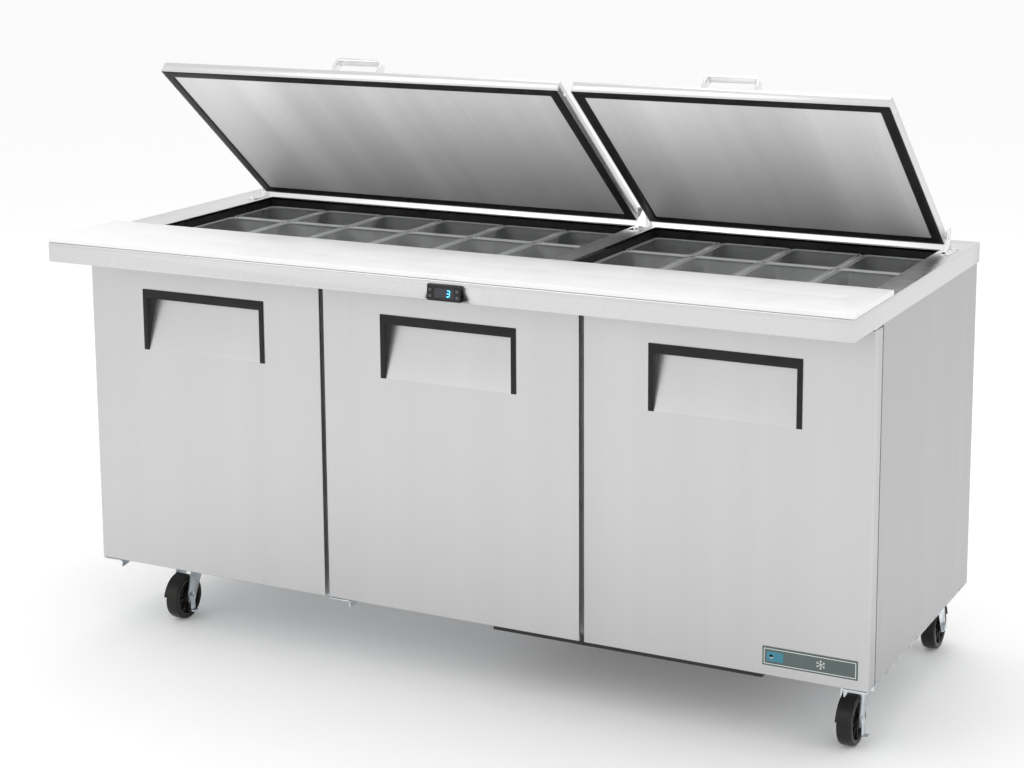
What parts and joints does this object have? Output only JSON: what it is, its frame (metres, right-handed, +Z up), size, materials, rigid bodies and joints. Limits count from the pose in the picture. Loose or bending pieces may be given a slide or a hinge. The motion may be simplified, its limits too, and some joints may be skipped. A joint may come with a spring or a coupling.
{
  "type": "sandwich prep table",
  "caption": "Refrigerated sandwich prep table with hinged doors, pan wells under hinged lids, a lift-off cutting board, a temperature control and swivel casters.",
  "frame": {"origin": "on the floor, under the middle of the table", "axes": "+X along the length to the user's right, +Y to the back, +Z up"},
  "size_m": [1.839, 0.8778, 1.3095],
  "materials": {
    "black_paint": "black, satin",
    "black_plastic": "black, satin",
    "board": "white polyethylene, fine matt",
    "button": "grey rubber",
    "clear_pan": "clear polycarbonate",
    "coil": "aluminium fins and sheet",
    "fan_blade": "bare",
    "foam": "rigid foam",
    "galvanised": "galvanised sheet",
    "gasket": "black vinyl",
    "handle_plastic": "black, fine texture",
    "inner_door": "foamed door with a light inner skin",
    "lid_inner": "foamed panel faced with brushed stainless steel",
    "liner": "white-coated aluminium",
    "name_plate": "grey-green enamel with a pale border",
    "polished_steel": "polished stainless steel",
    "shelf_wire": "plastic-coated wire",
    "stainless": "brushed, vertical grain",
    "well_plastic": "black, satin",
    "wheel": "black, satin",
    "zinc": "bright zinc plate"
  },
  "bodies": {
    "cabinet": {"worktop": "stainless", "well_walls": "well_plastic", "well_floor": "stainless", "pans": "clear_pan", "side_panel_left": "stainless", "side_panel_right": "stainless", "back_panel": "stainless", "base_pan": "galvanised", "face_frame": "stainless", "insulation": "foam", "liner": "liner", "shelves": "shelf_wire", "door_hinges": "zinc", "lid_brackets": "polished_steel", "caster_mounts": "zinc", "evaporator": "coil", "compressor": "black_paint", "condenser": "coil", "unit_tray": "black_paint", "rear_grille": "stainless", "power_inlet": "black_plastic", "controller": "black_plastic"},
    "door_left": {"door_skin_left": "stainless", "door_core_left": "inner_door", "door_gasket_left": "gasket", "door_handle_left": "handle_plastic"},
    "door_middle": {"door_skin_middle": "stainless", "door_core_middle": "inner_door", "door_gasket_middle": "gasket", "door_handle_middle": "handle_plastic"},
    "door_right": {"door_skin_right": "stainless", "door_core_right": "inner_door", "door_gasket_right": "gasket", "door_handle_right": "handle_plastic", "name_plate": "name_plate"},
    "lid_left": {"lid_skin_left": "stainless", "lid_panel_left": "lid_inner", "lid_gasket_left": "gasket", "lid_handle_left": "polished_steel"},
    "lid_right": {"lid_skin_right": "stainless", "lid_panel_right": "lid_inner", "lid_gasket_right": "gasket", "lid_handle_right": "polished_steel"},
    "board": {"cutting_board": "board"},
    "swivel_front_left": {"caster_fork_front_left": "zinc"},
    "wheel_front_left": {"caster_wheel_front_left": "wheel"},
    "swivel_front_right": {"caster_fork_front_right": "zinc"},
    "wheel_front_right": {"caster_wheel_front_right": "wheel"},
    "swivel_rear_left": {"caster_fork_rear_left": "zinc"},
    "wheel_rear_left": {"caster_wheel_rear_left": "wheel"},
    "swivel_rear_right": {"caster_fork_rear_right": "zinc"},
    "wheel_rear_right": {"caster_wheel_rear_right": "wheel"},
    "pedal_left": {"brake_pedal_left": "zinc"},
    "pedal_right": {"brake_pedal_right": "zinc"},
    "inner_fan": {"evaporator_fan": "black_plastic"},
    "outer_fan": {"condenser_fan": "fan_blade"},
    "key_set": {"button_set": "button"},
    "key_power": {"button_power": "button"},
    "key_up": {"button_up": "button"},
    "key_down": {"button_down": "button"}
  },
  "joints": [
    {"name": "lid_left_hinge", "type": "hinge", "parent": "cabinet", "child": "lid_left", "pos_m": [0, 0.3001, 0.943], "axis": [-1, 0, 0], "range_deg": [-39.2, 0]},
    {"name": "lid_right_hinge", "type": "hinge", "parent": "cabinet", "child": "lid_right", "pos_m": [0, 0.3001, 0.943], "axis": [-1, 0, 0], "range_deg": [-39.2, 0]},
    {"name": "door_left_hinge", "type": "hinge", "parent": "cabinet", "child": "door_left", "pos_m": [-0.904, -0.2766, 0.1515], "axis": [0, 0, -1], "range_deg": [0, 105], "stiffness_Nm_per_rad": 2},
    {"name": "door_middle_hinge", "type": "hinge", "parent": "cabinet", "child": "door_middle", "pos_m": [-0.28983, -0.2766, 0.1515], "axis": [0, 0, -1], "range_deg": [0, 105], "stiffness_Nm_per_rad": 2},
    {"name": "door_right_hinge", "type": "hinge", "parent": "cabinet", "child": "door_right", "pos_m": [0.904, -0.2766, 0.1515], "axis": [0, 0, 1], "range_deg": [0, 105], "stiffness_Nm_per_rad": 2},
    {"name": "board_lift", "type": "slide", "parent": "cabinet", "child": "board", "axis": [0, 0, 1], "range_m": [0, 0.08]},
    {"name": "swivel_front_left_turn", "type": "hinge", "parent": "cabinet", "child": "swivel_front_left", "pos_m": [-0.7595, -0.1656, 0.132], "axis": [0, 0, 1], "continuous": true},
    {"name": "wheel_front_left_roll", "type": "hinge", "parent": "swivel_front_left", "child": "wheel_front_left", "pos_m": [-0.7595, -0.1986, 0.051], "axis": [1, 0, 0], "continuous": true},
    {"name": "swivel_front_right_turn", "type": "hinge", "parent": "cabinet", "child": "swivel_front_right", "pos_m": [0.8555, -0.1656, 0.132], "axis": [0, 0, 1], "continuous": true},
    {"name": "wheel_front_right_roll", "type": "hinge", "parent": "swivel_front_right", "child": "wheel_front_right", "pos_m": [0.8555, -0.1986, 0.051], "axis": [1, 0, 0], "continuous": true},
    {"name": "swivel_rear_left_turn", "type": "hinge", "parent": "cabinet", "child": "swivel_rear_left", "pos_m": [-0.7595, 0.35, 0.132], "axis": [0, 0, 1], "continuous": true},
    {"name": "wheel_rear_left_roll", "type": "hinge", "parent": "swivel_rear_left", "child": "wheel_rear_left", "pos_m": [-0.7595, 0.383, 0.051], "axis": [1, 0, 0], "continuous": true},
    {"name": "swivel_rear_right_turn", "type": "hinge", "parent": "cabinet", "child": "swivel_rear_right", "pos_m": [0.8555, 0.35, 0.132], "axis": [0, 0, 1], "continuous": true},
    {"name": "wheel_rear_right_roll", "type": "hinge", "parent": "swivel_rear_right", "child": "wheel_rear_right", "pos_m": [0.8555, 0.383, 0.051], "axis": [1, 0, 0], "continuous": true},
    {"name": "pedal_left_press", "type": "hinge", "parent": "swivel_front_left", "child": "pedal_left", "pos_m": [-0.737, -0.1986, 0.051], "axis": [1, 0, 0], "range_deg": [0, 30]},
    {"name": "pedal_right_press", "type": "hinge", "parent": "swivel_front_right", "child": "pedal_right", "pos_m": [0.878, -0.1986, 0.051], "axis": [1, 0, 0], "range_deg": [0, 30]},
    {"name": "inner_fan_spin", "type": "hinge", "parent": "cabinet", "child": "inner_fan", "pos_m": [-0.26, 0.295, 0.658], "axis": [0, 1, 0], "continuous": true},
    {"name": "outer_fan_spin", "type": "hinge", "parent": "cabinet", "child": "outer_fan", "pos_m": [0.25, 0.343, 0.2815], "axis": [0, 1, 0], "continuous": true},
    {"name": "key_set_press", "type": "slide", "parent": "cabinet", "child": "key_set", "axis": [0, 1, 0], "range_m": [0, 0.0008], "stiffness_N_per_m": 600},
    {"name": "key_power_press", "type": "slide", "parent": "cabinet", "child": "key_power", "axis": [0, 1, 0], "range_m": [0, 0.0008], "stiffness_N_per_m": 600},
    {"name": "key_up_press", "type": "slide", "parent": "cabinet", "child": "key_up", "axis": [0, 1, 0], "range_m": [0, 0.0008], "stiffness_N_per_m": 600},
    {"name": "key_down_press", "type": "slide", "parent": "cabinet", "child": "key_down", "axis": [0, 1, 0], "range_m": [0, 0.0008], "stiffness_N_per_m": 600}
  ]
}
